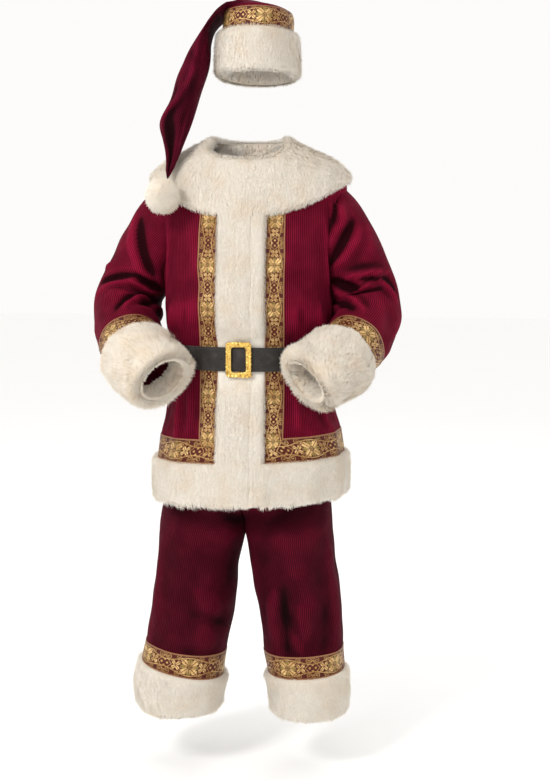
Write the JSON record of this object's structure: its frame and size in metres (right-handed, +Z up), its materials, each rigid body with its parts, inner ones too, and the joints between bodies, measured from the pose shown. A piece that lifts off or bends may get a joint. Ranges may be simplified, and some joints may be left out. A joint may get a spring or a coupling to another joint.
{
  "type": "santa suit",
  "caption": "Hollow worn suit: burgundy velvet jacket, trousers and pointed hat with white fur trim, gold brocade ribbon, and a dark belt with a gold buckle.",
  "frame": {"origin": "middle of the neck and shoulders, where the wearer holds the jacket up", "axes": "+Z up, the wearer faces -Y, +X is the wearer's left"},
  "size_m": [0.7606, 0.4935, 1.7526],
  "materials": {
    "burgundy_velvet": "ribbed burgundy velvet with a soft sheen along the ribs",
    "white_fur": "warm white plush fur, long soft pile",
    "gold_brocade": "woven metallic gold pattern on a dark red ground, corded edges",
    "charcoal_leather": "matt charcoal grained belt leather",
    "gold_metal": "bright polished gold-coloured cast metal with chiselled relief"
  },
  "bodies": {
    "root": {"belt_buckle": "gold_metal", "belt_strap": "charcoal_leather", "fur_collar": "white_fur", "fur_cuff_left": "white_fur", "fur_cuff_right": "white_fur", "fur_hem": "white_fur", "fur_leg_left": "white_fur", "fur_leg_right": "white_fur", "fur_placket": "white_fur", "hat_cone": "burgundy_velvet", "hat_fur_band": "white_fur", "hat_pompom": "white_fur", "hat_ribbon": "gold_brocade", "jacket_back": "burgundy_velvet", "jacket_front_left": "burgundy_velvet", "jacket_front_right": "burgundy_velvet", "ribbon_front_left": "gold_brocade", "ribbon_front_right": "gold_brocade", "ribbon_hem": "gold_brocade", "ribbon_leg_left": "gold_brocade", "ribbon_leg_right": "gold_brocade", "ribbon_sleeve_left": "gold_brocade", "ribbon_sleeve_right": "gold_brocade", "sleeve_left": "burgundy_velvet", "sleeve_right": "burgundy_velvet", "trousers_back_left": "burgundy_velvet", "trousers_back_right": "burgundy_velvet", "trousers_front_left": "burgundy_velvet", "trousers_front_right": "burgundy_velvet", "trousers_waistband": "burgundy_velvet"}
  },
  "joints": []
}
